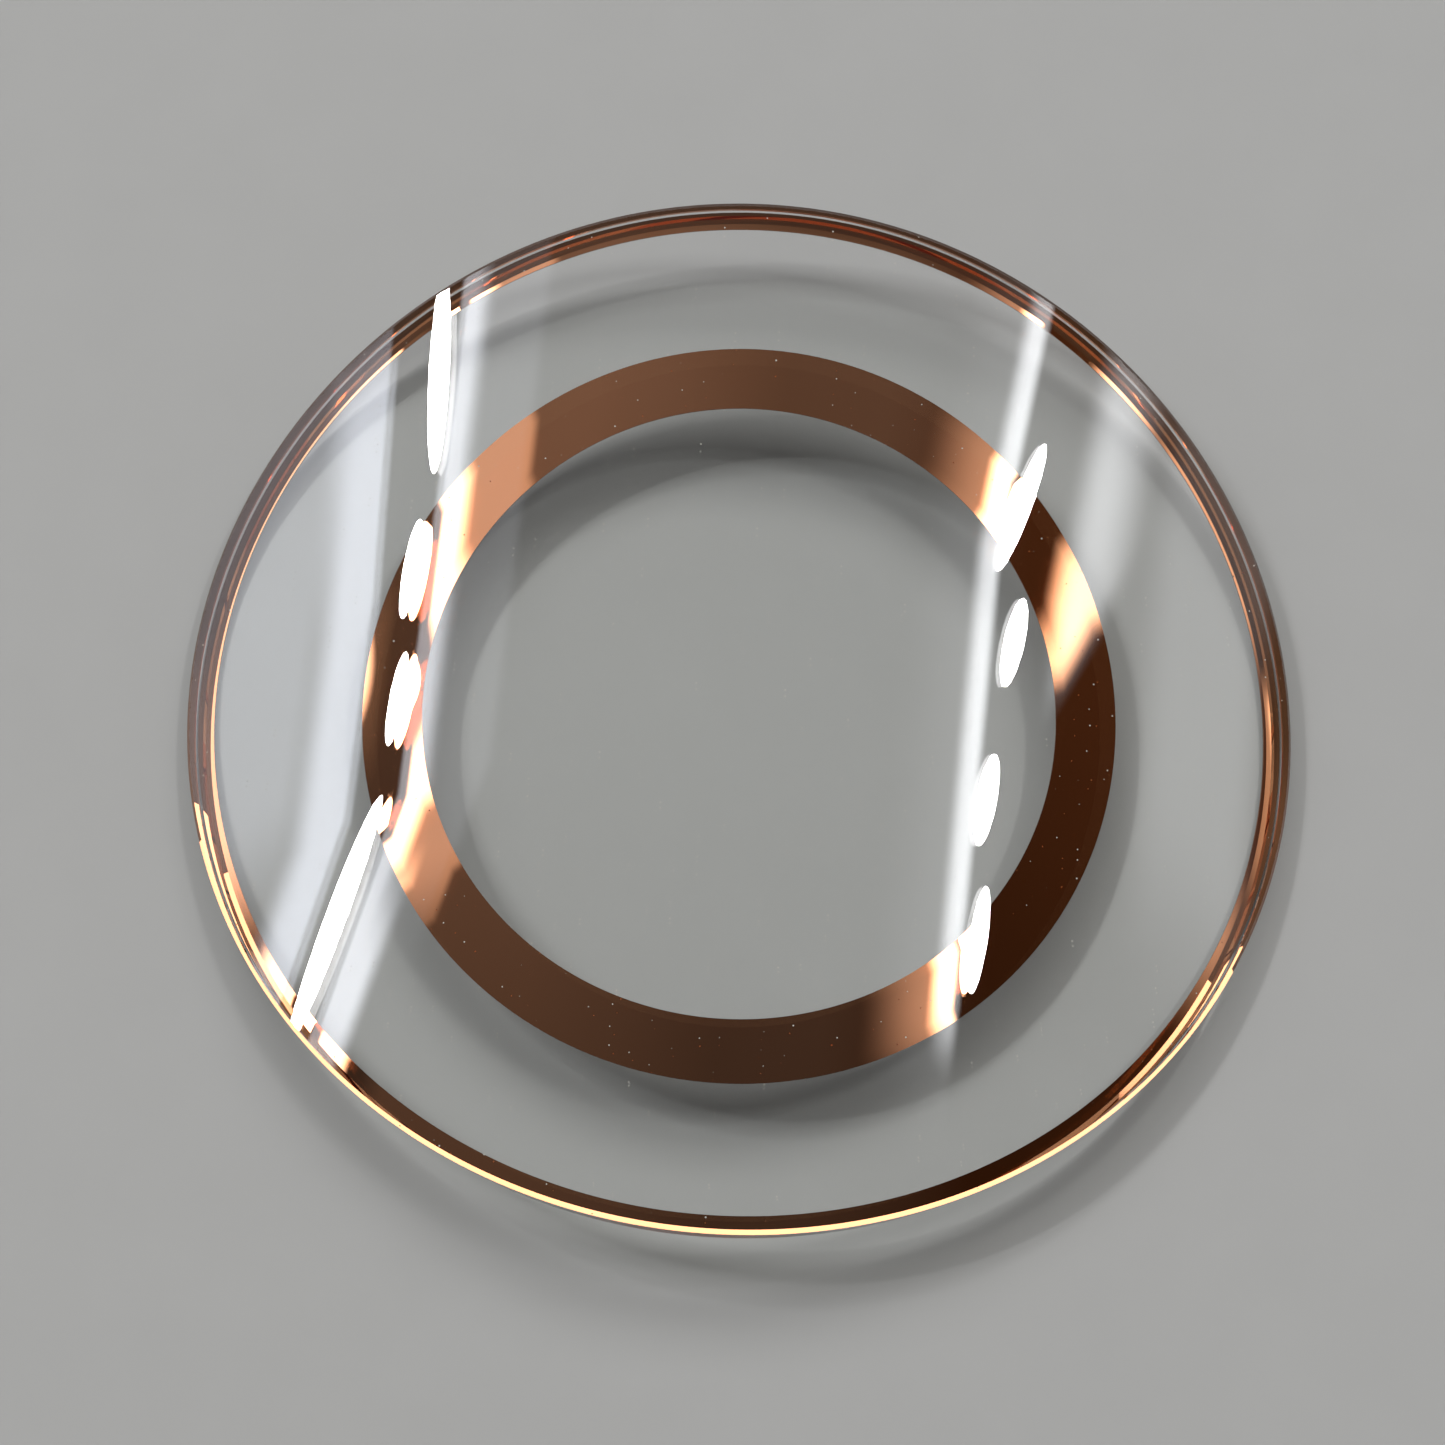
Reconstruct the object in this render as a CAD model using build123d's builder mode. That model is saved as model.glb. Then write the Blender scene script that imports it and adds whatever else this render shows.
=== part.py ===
"""A wrist watch's glass: an oval plate bent like a shallow arch, with two metallised bands printed underneath.

The plate is bent about one axis, parallel to Y, so its two faces are concentric cylinders. Seen from above, its
outline is an ellipse, and its ground wall stands square to the faces: it points at the bend axis all the way round.
The printed layers are thin shells that follow the underside, cut straight up and down.
The origin is at the middle of the bounding box's bottom, +X runs along the arch, and +Z is up.
"""

import os
from math import asin, cos, pi, sin, sqrt, tan

from build123d import *

# Driving dimensions, in millimetres
length = 30.0  # along the arch, X, over the ground wall
width = 28.1  # across the arch, Y
thickness = 1.1  # of the glass, square to its faces
bend_radius = 45.0  # of the upper face
upper_bevel = 0.12  # ground on the upper edge, the same along the face and down the wall
lower_bevel = 0.05  # ground on the lower edge

ring_inner_radius = 8.37  # of the inner ring, seen from above
ring_width = 1.7
rim_band_width = 0.49  # in from the lower bevel

film_thickness = 0.015  # metal layer, bonded to the glass
backing_thickness = 0.02  # lacquer behind the metal layer, cut to the same outline

outline_points = 16  # that the glass's outline is drawn through

# Concentric faces, by their radius from the bend axis
under_radius = bend_radius - thickness
film_radius = under_radius - film_thickness
backing_radius = film_radius - backing_thickness

# Half of the arch, as an angle at the bend axis: the wall is widest where the upper bevel meets it
half_angle = asin(length / 2 / (bend_radius - upper_bevel))

# Outlines of the printed layers, by how far they reach along X and along Y
ring_outer_radius = ring_inner_radius + ring_width
rim_outer_reach = under_radius * sin(half_angle) - lower_bevel
rim_inner_reach = rim_outer_reach - rim_band_width
rim_outer_half_width = width / 2 - lower_bevel
rim_inner_half_width = rim_outer_half_width - rim_band_width

# The arch stands on its two ends: on the rim band's lacquer, or on the glass where its lower bevel begins
lacquer_foot = sqrt(backing_radius**2 - rim_outer_reach**2)
glass_foot = under_radius * cos(half_angle - lower_bevel / under_radius)
axis_height = -min(lacquer_foot, glass_foot)


def bent_layer(outer_radius, inner_radius):
    """Add the layer between two concentric faces to the open part, as a whole tube about the bend axis."""
    with BuildSketch(Plane.XZ) as section:
        with Locations((0, axis_height)):
            Circle(outer_radius)
            Circle(inner_radius, mode=Mode.SUBTRACT)
    extrude(section.sketch, amount=width, both=True)


def trim_to_wall():
    """Keep what lies inside the glass's wall, whose straight lines all point at the bend axis."""
    below = -thickness
    above = axis_height + bend_radius + thickness
    sections = []
    for height in (below, above):
        outline = []
        for step in range(outline_points):
            turn = 2 * pi * step / outline_points
            angle = asin(sin(half_angle) * cos(turn))
            outline.append(((height - axis_height) * tan(angle), width / 2 * sin(turn)))
        with BuildSketch(Plane.XY.offset(height)) as section:
            with BuildLine():
                Spline(*outline, periodic=True)
            make_face()
        sections.append(section.sketch)
    loft(sections, ruled=True, mode=Mode.INTERSECT)


def trim_upright(reach, half_width, mode):
    """Keep or cut what lies inside an oval that runs straight up, given by its half-sizes along X and Y."""
    with BuildSketch(Plane.XY.offset(-thickness)) as section:
        Ellipse(reach, half_width)
    extrude(section.sketch, amount=bend_radius, mode=mode)


with BuildPart() as crystal:
    bent_layer(bend_radius, under_radius)
    trim_to_wall()
    upper_face = crystal.faces().filter_by(GeomType.CYLINDER).sort_by(Axis.Z)[-1]
    chamfer(upper_face.edges(), upper_bevel)
    under_face = crystal.faces().filter_by(GeomType.CYLINDER).sort_by(Axis.Z)[0]
    chamfer(under_face.edges(), lower_bevel)

with BuildPart() as inner_ring_film:
    bent_layer(under_radius, film_radius)
    trim_upright(ring_outer_radius, ring_outer_radius, Mode.INTERSECT)
    trim_upright(ring_inner_radius, ring_inner_radius, Mode.SUBTRACT)

with BuildPart() as inner_ring_backing:
    bent_layer(film_radius, backing_radius)
    trim_upright(ring_outer_radius, ring_outer_radius, Mode.INTERSECT)
    trim_upright(ring_inner_radius, ring_inner_radius, Mode.SUBTRACT)

with BuildPart() as rim_band_film:
    bent_layer(under_radius, film_radius)
    trim_upright(rim_outer_reach, rim_outer_half_width, Mode.INTERSECT)
    trim_upright(rim_inner_reach, rim_inner_half_width, Mode.SUBTRACT)

with BuildPart() as rim_band_backing:
    bent_layer(film_radius, backing_radius)
    trim_upright(rim_outer_reach, rim_outer_half_width, Mode.INTERSECT)
    trim_upright(rim_inner_reach, rim_inner_half_width, Mode.SUBTRACT)

crystal.part.label = "crystal"
inner_ring_film.part.label = "inner_ring_film"
inner_ring_backing.part.label = "inner_ring_backing"
rim_band_film.part.label = "rim_band_film"
rim_band_backing.part.label = "rim_band_backing"

os.makedirs("parts", exist_ok=True)
export_step(crystal.part, "parts/crystal.step")
export_step(inner_ring_film.part, "parts/inner_ring_film.step")
export_step(inner_ring_backing.part, "parts/inner_ring_backing.step")
export_step(rim_band_film.part, "parts/rim_band_film.step")
export_step(rim_band_backing.part, "parts/rim_band_backing.step")
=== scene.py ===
"""A wrist watch's glass: an arched oval plate of clear mineral glass, with rose-gold mirror bands printed under it.

Every new piece is modelled flat, as a blank whose upper face is at level 0, and is then bent over like an arch.
"""

from math import asin, cos, pi, radians, sin

import bpy
from mathutils import Matrix, Vector


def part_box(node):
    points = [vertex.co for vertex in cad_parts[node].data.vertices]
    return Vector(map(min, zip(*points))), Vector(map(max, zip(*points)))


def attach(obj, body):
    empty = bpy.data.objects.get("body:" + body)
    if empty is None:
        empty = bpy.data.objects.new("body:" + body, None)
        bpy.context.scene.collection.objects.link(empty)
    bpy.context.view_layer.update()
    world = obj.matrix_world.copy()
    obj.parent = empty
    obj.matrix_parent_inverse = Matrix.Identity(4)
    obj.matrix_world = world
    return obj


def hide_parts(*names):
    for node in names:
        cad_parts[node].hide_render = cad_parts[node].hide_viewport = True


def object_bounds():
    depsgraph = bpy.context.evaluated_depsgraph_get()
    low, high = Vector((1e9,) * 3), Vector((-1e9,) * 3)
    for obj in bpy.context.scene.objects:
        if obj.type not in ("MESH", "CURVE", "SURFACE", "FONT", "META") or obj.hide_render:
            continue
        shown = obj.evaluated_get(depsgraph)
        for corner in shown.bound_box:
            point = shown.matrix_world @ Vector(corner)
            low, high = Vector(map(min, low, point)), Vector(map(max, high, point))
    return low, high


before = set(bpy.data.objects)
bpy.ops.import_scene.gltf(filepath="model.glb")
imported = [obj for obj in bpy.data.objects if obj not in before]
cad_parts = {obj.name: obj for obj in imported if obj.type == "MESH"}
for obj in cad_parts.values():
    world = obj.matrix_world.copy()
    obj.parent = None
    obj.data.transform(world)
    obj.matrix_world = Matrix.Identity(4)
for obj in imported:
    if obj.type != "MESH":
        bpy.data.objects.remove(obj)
cad_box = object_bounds()

# The plate, in metres, as it is in the CAD model
glass_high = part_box("crystal")[1]
thickness = 0.0011
bend_radius = 0.045  # of the upper face
under_radius = bend_radius - thickness
upper_bevel = 0.00012
lower_bevel = 0.00005
half_angle = asin(glass_high.x / (bend_radius - upper_bevel))  # of the wall, at the bend axis
half_width = glass_high.y

# The printed layers. Each laps a few micrometres over what it is bonded to, so that no two faces coincide
ring_outer_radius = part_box("inner_ring_film")[1].x
ring_width = 0.0017
rim_band_inset = 0.00005  # of its outer edge, from the wall
rim_band_width = 0.00049
film_thickness = 0.000015
backing_thickness = 0.00002
lap = 0.000005

outline_corners = 256
loops_across_band = 6
sharpest_smooth = radians(30)  # edges that turn by more are shaded as edges
touching = 0.00001  # a corner this near to a level counts as at it


def start_outline(name, half_length, half_breadth, face_radius, level):
    """Adds a filled flat oval that is an ellipse seen from above, once its face is bent to that radius."""
    bpy.ops.object.select_all(action="DESELECT")
    bpy.ops.mesh.primitive_circle_add(
        vertices=outline_corners,
        radius=1,
        fill_type="NGON",
        location=(0, 0, level),
        rotation=(0, 0, pi / outline_corners),
    )
    piece = bpy.context.object
    piece.name = name
    bpy.ops.object.transform_apply(location=True, rotation=True, scale=True)
    piece.scale = (half_length, half_breadth, 1)
    bpy.ops.object.transform_apply(location=False, rotation=False, scale=True)
    # The blank is a little longer than an ellipse, because the bend shortens it most at its ends
    for corner in piece.data.vertices:
        corner.co.x = bend_radius * asin(corner.co.x / face_radius)
    return piece


def edit_where(piece, parts, passes):
    """Goes into edit mode with only those faces or edges selected whose corners, as a list, pass the test."""
    bpy.ops.object.mode_set(mode="EDIT")
    bpy.ops.mesh.select_mode(type="FACE" if parts == "polygons" else "EDGE")
    bpy.ops.mesh.select_all(action="DESELECT")
    bpy.ops.object.mode_set(mode="OBJECT")
    for part in getattr(piece.data, parts):
        part.select = passes([piece.data.vertices[index].co for index in part.vertices])
    bpy.ops.object.mode_set(mode="EDIT")


def all_at(level):
    """A test for edit_where: every corner is at that level."""
    return lambda corners: all(abs(corner.z - level) < touching for corner in corners)


def thicken(piece, depth):
    """Extrudes a flat face downwards into a closed plate."""
    edit_where(piece, "polygons", lambda corners: True)
    bpy.ops.mesh.extrude_region_move(TRANSFORM_OT_translate={"value": (0, 0, -depth)})
    bpy.ops.mesh.select_all(action="SELECT")
    bpy.ops.mesh.normals_make_consistent(inside=False)
    bpy.ops.object.mode_set(mode="OBJECT")


def bend_over(piece):
    """Bends a flat piece about an axis along Y below it, and sets level 0 at the top of the arch."""
    piece.rotation_euler.x = pi / 2
    bpy.ops.object.transform_apply(location=False, rotation=True, scale=False)
    arch = piece.modifiers.new("arch", "SIMPLE_DEFORM")
    arch.deform_method = "BEND"
    arch.deform_axis = "Z"
    arch.angle = piece.dimensions.x / bend_radius
    bpy.ops.object.modifier_apply(modifier=arch.name)
    piece.rotation_euler.x = -pi / 2
    piece.location.z = glass_high.z
    bpy.ops.object.transform_apply(location=True, rotation=True, scale=False)
    bpy.ops.object.shade_smooth_by_angle(angle=sharpest_smooth)


def model_glass():
    """The plate: two bevels ground on the flat blank, then each face laid out in strips along the bend axis."""
    half_length = bend_radius * sin(half_angle)
    glass = start_outline("glass_plate", half_length, half_width, bend_radius, 0)
    thicken(glass, thickness)
    for level, bevel in ((0, upper_bevel), (-thickness, lower_bevel)):
        edit_where(glass, "edges", all_at(level))
        bpy.ops.mesh.bevel(offset=bevel, segments=1)
    for level in (0, -thickness):
        on_face = all_at(level)
        edit_where(glass, "polygons", on_face)
        bpy.ops.mesh.delete(type="ONLY_FACE")
        # Each strip runs from an edge on the near half of the outline to its opposite on the far half
        edit_where(glass, "edges", lambda ends: on_face(ends) and ends[0].y * ends[1].y > 0)
        bpy.ops.mesh.bridge_edge_loops()
    bpy.ops.mesh.select_all(action="SELECT")
    bpy.ops.mesh.normals_make_consistent(inside=False)
    bpy.ops.object.mode_set(mode="OBJECT")
    bend_over(glass)
    return glass


def model_band(name, reach, half_breadth, band_width, upper_level, depth):
    """One printed layer: a flat band, cut in loops across its width so that it follows the bend."""
    band = start_outline(name, reach, half_breadth, under_radius, upper_level)
    edit_where(band, "polygons", lambda corners: True)
    for _ in range(loops_across_band):
        bpy.ops.mesh.inset(thickness=band_width / loops_across_band, use_even_offset=True)
    bpy.ops.mesh.delete(type="FACE")
    thicken(band, depth)
    bend_over(band)
    return band


glass = model_glass()
rim_reach = under_radius * sin(half_angle) - rim_band_inset
rim_breadth = half_width - rim_band_inset
film_level = lap - thickness
backing_level = lap - thickness - film_thickness
ring_mirror = model_band(
    "ring_mirror", ring_outer_radius, ring_outer_radius, ring_width, film_level, film_thickness + lap
)
ring_lacquer = model_band(
    "ring_lacquer", ring_outer_radius, ring_outer_radius, ring_width, backing_level, backing_thickness + lap
)
rim_mirror = model_band(
    "rim_mirror", rim_reach, rim_breadth, rim_band_width, film_level, film_thickness + lap
)
rim_lacquer = model_band(
    "rim_lacquer", rim_reach, rim_breadth, rim_band_width, backing_level, backing_thickness + lap
)


def linear(hex_colour):
    """A colour given as sRGB hex, as the linear RGBA that a shader takes."""
    channels = [int(hex_colour[at : at + 2], 16) / 255 for at in (1, 3, 5)]
    return [c / 12.92 if c <= 0.04045 else ((c + 0.055) / 1.055) ** 2.4 for c in channels] + [1.0]


def new_material(name):
    material = bpy.data.materials.new(name)
    material.use_nodes = True
    material.node_tree.nodes.clear()
    return material


def add(tree, kind, settings=None, inputs=None):
    """Adds a node, sets its settings, and sets or links its inputs."""
    node = tree.nodes.new(kind)
    for key, value in (settings or {}).items():
        setattr(node, key, value)
    for key, value in (inputs or {}).items():
        if isinstance(value, bpy.types.NodeSocket):
            tree.links.new(value, node.inputs[key])
        else:
            node.inputs[key].default_value = value
    return node


def maths(tree, operation, first, second=0.0):
    """Adds a maths node, and gives its result."""
    node = add(tree, "ShaderNodeMath", settings={"operation": operation}, inputs={0: first, 1: second})
    return node.outputs["Value"]


def ramp(tree, value, start, end, low=0.0, high=1.0, curve="LINEAR"):
    """Maps a value between start and end to one between low and high."""
    node = add(
        tree,
        "ShaderNodeMapRange",
        settings={"interpolation_type": curve},
        inputs={"Value": value, "From Min": start, "From Max": end, "To Min": low, "To Max": high},
    )
    return node.outputs["Result"]


def blend(tree, factor, first, second):
    """Mixes two colours, given as sRGB hex."""
    node = add(
        tree,
        "ShaderNodeMix",
        settings={"data_type": "RGBA"},
        inputs={"Factor": factor, "A": linear(first), "B": linear(second)},
    )
    return node.outputs["Result"]


def mineral_glass():
    """Float glass, cut and polished: clear and sharp, with the faintest haze of fingertip grease and some dust."""
    material = new_material("polished_mineral_glass")
    tree = material.node_tree
    place = add(tree, "ShaderNodeTexCoord").outputs["Object"]
    # Smears about 4 mm across
    smears = add(tree, "ShaderNodeTexNoise", inputs={"Vector": place, "Scale": 250, "Detail": 4})
    haze = ramp(tree, smears.outputs["Fac"], 0.55, 0.9, 0.0, 0.012)
    clear = add(
        tree,
        "ShaderNodeBsdfPrincipled",
        inputs={
            "Base Color": linear("#FFFFFF"),
            "Roughness": haze,
            "IOR": 1.52,
            "Transmission Weight": 1.0,
        },
    )
    # The two faces lie nearly level, and the ground wall and bevels stand steeply
    normal = add(tree, "ShaderNodeSeparateXYZ", inputs={0: add(tree, "ShaderNodeNewGeometry").outputs["Normal"]})
    on_face = maths(tree, "GREATER_THAN", maths(tree, "ABSOLUTE", normal.outputs["Z"]), 0.85)
    # Dust on the faces: specks up to 0.05 mm across, in every other cell of 0.6 mm
    cells = add(tree, "ShaderNodeTexVoronoi", {"voronoi_dimensions": "2D"}, {"Vector": place, "Scale": 1700})
    chance = add(tree, "ShaderNodeSeparateColor", inputs={"Color": cells.outputs["Color"]})
    reach = ramp(tree, chance.outputs["Red"], 0.5, 1.0, 0.0, 0.04)
    speck = maths(tree, "LESS_THAN", cells.outputs["Distance"], reach)
    dusted = maths(tree, "MULTIPLY", speck, on_face)
    dust = add(tree, "ShaderNodeBsdfDiffuse", inputs={"Color": linear("#C8C4BC")})
    dusty = add(
        tree,
        "ShaderNodeMixShader",
        inputs={0: dusted, 1: clear.outputs["BSDF"], 2: dust.outputs["BSDF"]},
    )
    # The table below is lit straight through the plate. A face lets nearly all of the light by,
    # and the ground wall and bevels turn most of theirs aside
    passes = blend(tree, on_face, "#8C8C8A", "#F6F7F6")
    shade = add(tree, "ShaderNodeBsdfTransparent", inputs={"Color": passes})
    path = add(tree, "ShaderNodeLightPath")
    lit_through = maths(tree, "MAXIMUM", path.outputs["Is Shadow Ray"], path.outputs["Is Diffuse Ray"])
    mix = add(
        tree,
        "ShaderNodeMixShader",
        inputs={0: lit_through, 1: dusty.outputs["Shader"], 2: shade.outputs["BSDF"]},
    )
    add(tree, "ShaderNodeOutputMaterial", inputs={"Surface": mix.outputs["Shader"]})
    return material


def rose_gold():
    """Rose gold vacuum-coated on glass: a mirror as smooth as the glass, in faint warmer and paler areas."""
    material = new_material("vacuum_coated_rose_gold")
    tree = material.node_tree
    place = add(tree, "ShaderNodeTexCoord").outputs["Object"]
    # Areas about 3 mm across, as a thicker or thinner coating tints them
    clouds = add(tree, "ShaderNodeTexNoise", inputs={"Vector": place, "Scale": 300, "Detail": 3})
    tone = blend(tree, clouds.outputs["Fac"], "#E49A6A", "#ECA478")
    # The coating's grain, about 0.1 mm, coarser than the real one so that it shows
    grain = add(tree, "ShaderNodeTexNoise", inputs={"Vector": place, "Scale": 9000, "Detail": 2})
    polish = ramp(tree, grain.outputs["Fac"], 0.4, 0.7, 0.0, 0.012)
    metal = add(
        tree, "ShaderNodeBsdfPrincipled", inputs={"Base Color": tone, "Metallic": 1.0, "Roughness": polish}
    )
    add(tree, "ShaderNodeOutputMaterial", inputs={"Surface": metal.outputs["BSDF"]})
    return material


def printing_lacquer():
    """Opaque screen-printing lacquer behind the metal: dark brown and matt, with the print's fine tooth."""
    material = new_material("screen_printed_lacquer")
    tree = material.node_tree
    place = add(tree, "ShaderNodeTexCoord").outputs["Object"]
    # The tooth is about 0.1 mm, coarser than the real one so that it shows
    tooth = add(tree, "ShaderNodeTexNoise", inputs={"Vector": place, "Scale": 8000, "Detail": 4})
    tone = blend(tree, tooth.outputs["Fac"], "#2A1D18", "#3B2A22")
    bump = add(
        tree,
        "ShaderNodeBump",
        inputs={"Strength": 0.3, "Distance": 0.00001, "Height": tooth.outputs["Fac"]},
    )
    lacquer = add(
        tree,
        "ShaderNodeBsdfPrincipled",
        inputs={"Base Color": tone, "Roughness": 0.55, "Normal": bump.outputs["Normal"]},
    )
    add(tree, "ShaderNodeOutputMaterial", inputs={"Surface": lacquer.outputs["BSDF"]})
    return material


def table_top():
    """A painted table top: plain pale grey and matt, with the barest mottle, 2.5 mm across."""
    material = new_material("matt_grey_table")
    tree = material.node_tree
    place = add(tree, "ShaderNodeTexCoord").outputs["Object"]
    mottle = add(tree, "ShaderNodeTexNoise", inputs={"Vector": place, "Scale": 400, "Detail": 3})
    tone = blend(tree, mottle.outputs["Fac"], "#B4B4B2", "#B8B8B6")
    paint = add(tree, "ShaderNodeBsdfPrincipled", inputs={"Base Color": tone, "Roughness": 0.8})
    add(tree, "ShaderNodeOutputMaterial", inputs={"Surface": paint.outputs["BSDF"]})
    return material


glass.data.materials.append(mineral_glass())
gold = rose_gold()
ring_mirror.data.materials.append(gold)
rim_mirror.data.materials.append(gold)
lacquer = printing_lacquer()
ring_lacquer.data.materials.append(lacquer)
rim_lacquer.data.materials.append(lacquer)

for piece, node, finish in (
    (glass, "crystal", "mineral_glass"),
    (ring_mirror, "inner_ring_film", "rose_gold_film"),
    (ring_lacquer, "inner_ring_backing", "backing_lacquer"),
    (rim_mirror, "rim_band_film", "rose_gold_film"),
    (rim_lacquer, "rim_band_backing", "backing_lacquer"),
):
    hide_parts(node)
    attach(piece, "root")

bpy.ops.object.select_all(action="DESELECT")
bpy.ops.mesh.primitive_plane_add(size=4, location=(0, 0, cad_box[0].z))
table = bpy.context.object
table.name = "table"
table.data.materials.append(table_top())


def studio_world():
    """A dim ceiling with soft bright strips to the left and right over the table, and plain paler walls."""
    world = bpy.data.worlds.new("studio")
    bpy.context.scene.world = world
    world.use_nodes = True
    tree = world.node_tree
    tree.nodes.clear()

    def ease(value, start, end, low=0.0, high=1.0):
        return ramp(tree, value, start, end, low, high, "SMOOTHSTEP")

    way = add(tree, "ShaderNodeTexCoord").outputs["Generated"]
    parts = add(tree, "ShaderNodeSeparateXYZ", inputs={0: way})
    height = maths(tree, "MAXIMUM", parts.outputs["Z"], 0.05)
    # How far a direction leans from straight up, as a slope: to the right, and away from the camera
    across = maths(tree, "DIVIDE", parts.outputs["X"], height)
    away = maths(tree, "DIVIDE", parts.outputs["Y"], height)
    # The left-hand strips swing outwards at their near ends, and the right-hand ones and the outer left one at
    # their far ends
    near_bend, near_lean = 0.23, 1.7
    far_bend, far_lean = 0.3, 0.6
    before_bend = maths(tree, "MAXIMUM", maths(tree, "SUBTRACT", near_bend, away), 0.0)
    near_swing = maths(tree, "MULTIPLY", before_bend, near_lean)
    past_bend = maths(tree, "MAXIMUM", maths(tree, "SUBTRACT", away, far_bend), 0.0)
    far_swing = maths(tree, "MULTIPLY", past_bend, far_lean)
    across_left = maths(tree, "ADD", across, near_swing)
    across_outer = maths(tree, "ADD", across_left, maths(tree, "MULTIPLY", far_swing, 0.6))
    across_right = maths(tree, "SUBTRACT", across, far_swing)
    # The outer right strip begins on a slant
    away_slant = maths(tree, "SUBTRACT", away, maths(tree, "MULTIPLY", across, 0.45))

    ceiling = add(tree, "ShaderNodeValToRGB", inputs={"Fac": ramp(tree, across, -1.0, 1.0)})
    # The ceiling's light and tint by its slope to the right. It is dimmest between the left-hand strips, and to
    # the far right, where it is warm
    neutral, warm = (1, 1, 1), (1, 0.62, 0.36)
    ceiling_light = (
        (-1.0, 0.17, neutral),
        (-0.64, 0.17, neutral),
        (-0.61, 0.08, neutral),
        (-0.56, 0.08, neutral),
        (-0.52, 0.17, neutral),
        (-0.3, 0.17, neutral),
        (-0.15, 0.14, neutral),
        (0.0, 0.1, neutral),
        (0.15, 0.1, neutral),
        (0.4, 0.052, warm),
        (1.0, 0.062, warm),
    )
    stops = ceiling.color_ramp.elements
    stops.remove(stops[1])
    for index, (slope, light, tint) in enumerate(ceiling_light):
        position = (slope + 1) / 2
        stop = stops[0] if index == 0 else stops.new(position)
        stop.position = position
        stop.color = [light * share for share in tint] + [1]
    # It grows lighter away from the camera, and gives way to the walls low down
    lightness = maths(tree, "MULTIPLY", ease(away, 0.12, 0.34, 0.55, 1.2), ease(parts.outputs["Z"], 0.3, 0.6))
    sky = add(
        tree, "ShaderNodeBackground", inputs={"Color": ceiling.outputs["Color"], "Strength": lightness}
    ).outputs["Background"]
    walls = ease(parts.outputs["Z"], 0.3, 0.68, 0.27, 0.0)
    strips = (
        # Sideways: measure, left edge, its softness, right edge, its softness. Away: measure, near edge, its
        # softness, far edge, its softness. Then the light and its colour
        (across_outer, -0.79, 0.08, -0.638, 0.012, away, 0.13, 0.03, 0.42, 0.05, 6.0, "#EEF3FF"),
        (across, -1.3, 0.1, -0.75, 0.05, away, 0.2, 0.06, 0.5, 0.08, 2.2, "#EEF3FF"),
        (across_left, -0.547, 0.012, -0.48, 0.045, away, 0.1, 0.03, 0.45, 0.05, 7.2, "#F4F7FF"),
        (across_left, -0.525, 0.045, -0.45, 0.03, away, 0.1, 0.03, 0.215, 0.04, 7.2, "#F4F7FF"),
        (across_left, -0.53, 0.02, -0.38, 0.02, away, 0.17, 0.04, 0.45, 0.05, 0.66, "#F4F7FF"),
        (across_right, 0.303, 0.03, 0.354, 0.012, away, 0.15, 0.03, 0.45, 0.05, 7.6, "#FAFCFF"),
        (across_right, 0.2, 0.12, 0.35, 0.01, away, 0.13, 0.04, 0.45, 0.05, 0.65, "#FAFCFF"),
        (across_right, 0.435, 0.06, 0.6, 0.1, away_slant, 0.054, 0.02, 0.22, 0.06, 4.3, "#FAFCFF"),
        (across, 0.6, 0.1, 0.97, 0.1, away, 0.2, 0.08, 0.48, 0.06, 1.1, "#FAFCFF"),
    )
    lights = [(walls, "#FFFFFF")]
    for side, left, left_soft, right, right_soft, depth, near, near_soft, far, far_soft, light, colour in strips:
        sides = maths(
            tree, "MULTIPLY", ease(side, left, left + left_soft), ease(side, right - right_soft, right, 1.0, 0.0)
        )
        ends = maths(
            tree, "MULTIPLY", ease(depth, near, near + near_soft), ease(depth, far - far_soft, far, 1.0, 0.0)
        )
        lights.append((maths(tree, "MULTIPLY", maths(tree, "MULTIPLY", sides, ends), light), colour))
    for strength, colour in lights:
        part = add(tree, "ShaderNodeBackground", inputs={"Color": linear(colour), "Strength": strength})
        sky = add(tree, "ShaderNodeAddShader", inputs={0: sky, 1: part.outputs["Background"]}).outputs["Shader"]
    add(tree, "ShaderNodeOutputWorld", inputs={"Surface": sky})


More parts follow.
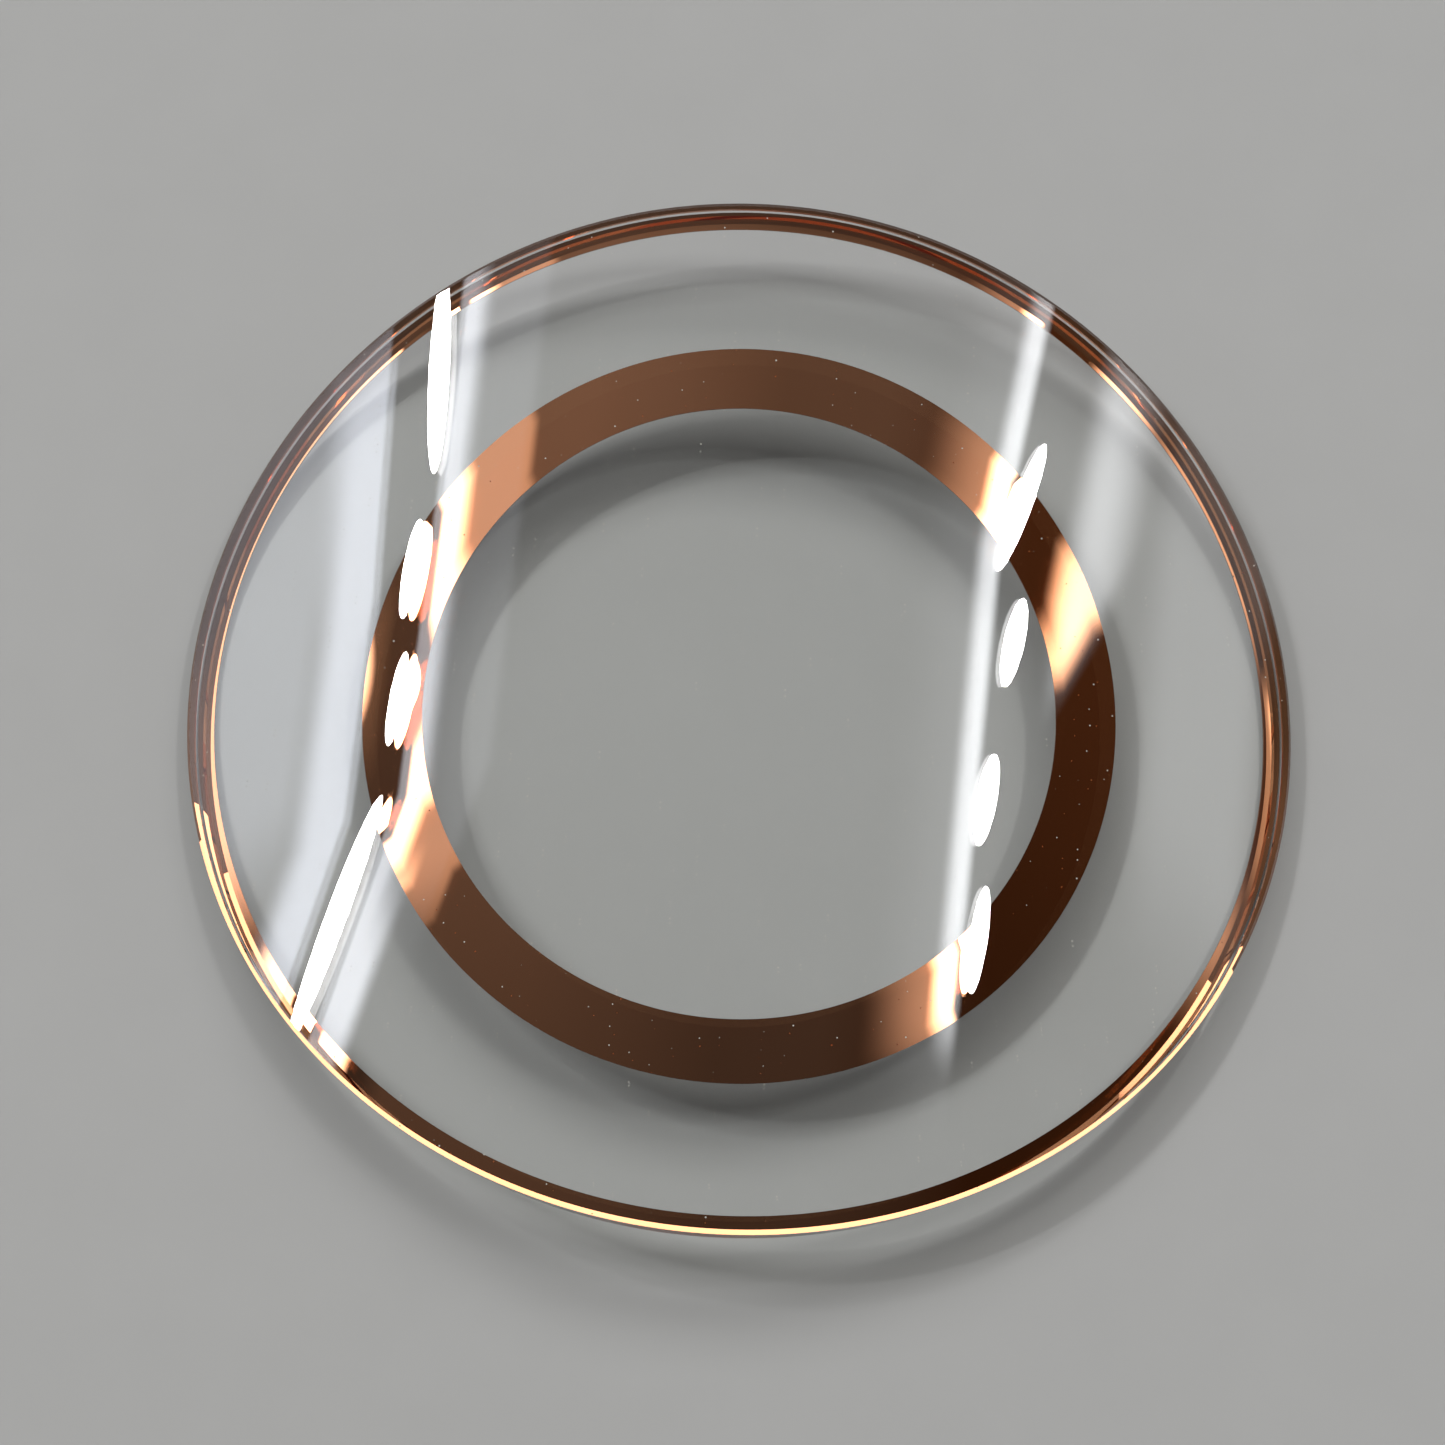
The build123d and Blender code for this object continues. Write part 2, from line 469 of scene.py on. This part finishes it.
def place_lamp(name, middle, length, breadth, turn, glow, shape="ELLIPSE"):
    """Adds a flat lamp that faces the glass. Turn is in degrees, from its length running straight away."""
    lamp = bpy.data.lights.new(name, "AREA")
    lamp.shape = shape
    lamp.size = breadth
    lamp.size_y = length
    lamp.energy = glow * length * breadth  # glow is in watts per square metre
    holder = bpy.data.objects.new(name, lamp)
    bpy.context.scene.collection.objects.link(holder)
    holder.location = middle
    back = Vector(middle).normalized()
    side = Vector((0, 1, 0)).cross(back).normalized()
    facing = Matrix((side, back.cross(side), back)).transposed()
    holder.rotation_euler = (facing @ Matrix.Rotation(radians(turn), 3, "Z")).to_euler()
    holder.visible_camera = False


studio_world()
# Two rows of small ceiling lamps, and a big soft one at the far side
place_lamp("left_lamp_far", (-0.48, 0.311, 0.832), 0.062, 0.028, 28, 500)
place_lamp("left_lamp_second", (-0.49, 0.257, 0.842), 0.031, 0.022, -34, 600)
place_lamp("left_lamp_third", (-0.491, 0.221, 0.851), 0.03, 0.02, -36, 600)
place_lamp("left_lamp_near", (-0.539, 0.158, 0.835), 0.119, 0.02, -53, 450)
place_lamp("right_lamp_far", (0.343, 0.292, 0.901), 0.066, 0.016, -59, 400)
place_lamp("right_lamp_second", (0.353, 0.255, 0.907), 0.037, 0.021, -62, 350)
place_lamp("right_lamp_third", (0.339, 0.211, 0.922), 0.034, 0.023, -60, 350)
place_lamp("right_lamp_near", (0.348, 0.172, 0.926), 0.033, 0.024, -34, 400)
place_lamp("softbox", (0.05, 0.56, 0.827), 0.34, 1.0, 0, 10, "RECTANGLE")

# High over the near side and a little to the right
camera_data = bpy.data.cameras.new("camera")
camera_data.sensor_width = 36
camera_data.lens = 97.2
camera_data.clip_start = 0.01
camera = bpy.data.objects.new("camera", camera_data)
bpy.context.scene.collection.objects.link(camera)
looks_at = Vector((-0.00038, -0.0006, glass_high.z))
rises, swings, distance = radians(76.9), radians(6.1), 0.1033
towards_camera = Vector((cos(rises) * sin(swings), -cos(rises) * cos(swings), sin(rises)))
camera.location = looks_at + distance * towards_camera
camera.rotation_euler = towards_camera.to_track_quat("Z", "Y").to_euler()
bpy.context.scene.camera = camera
bpy.context.scene.view_settings.view_transform = "Standard"
# Light that enters at the wall bounces many times between the two faces before it leaves
bounces = bpy.context.scene.cycles
bounces.max_bounces = 32
bounces.glossy_bounces = 24
bounces.transmission_bounces = 24
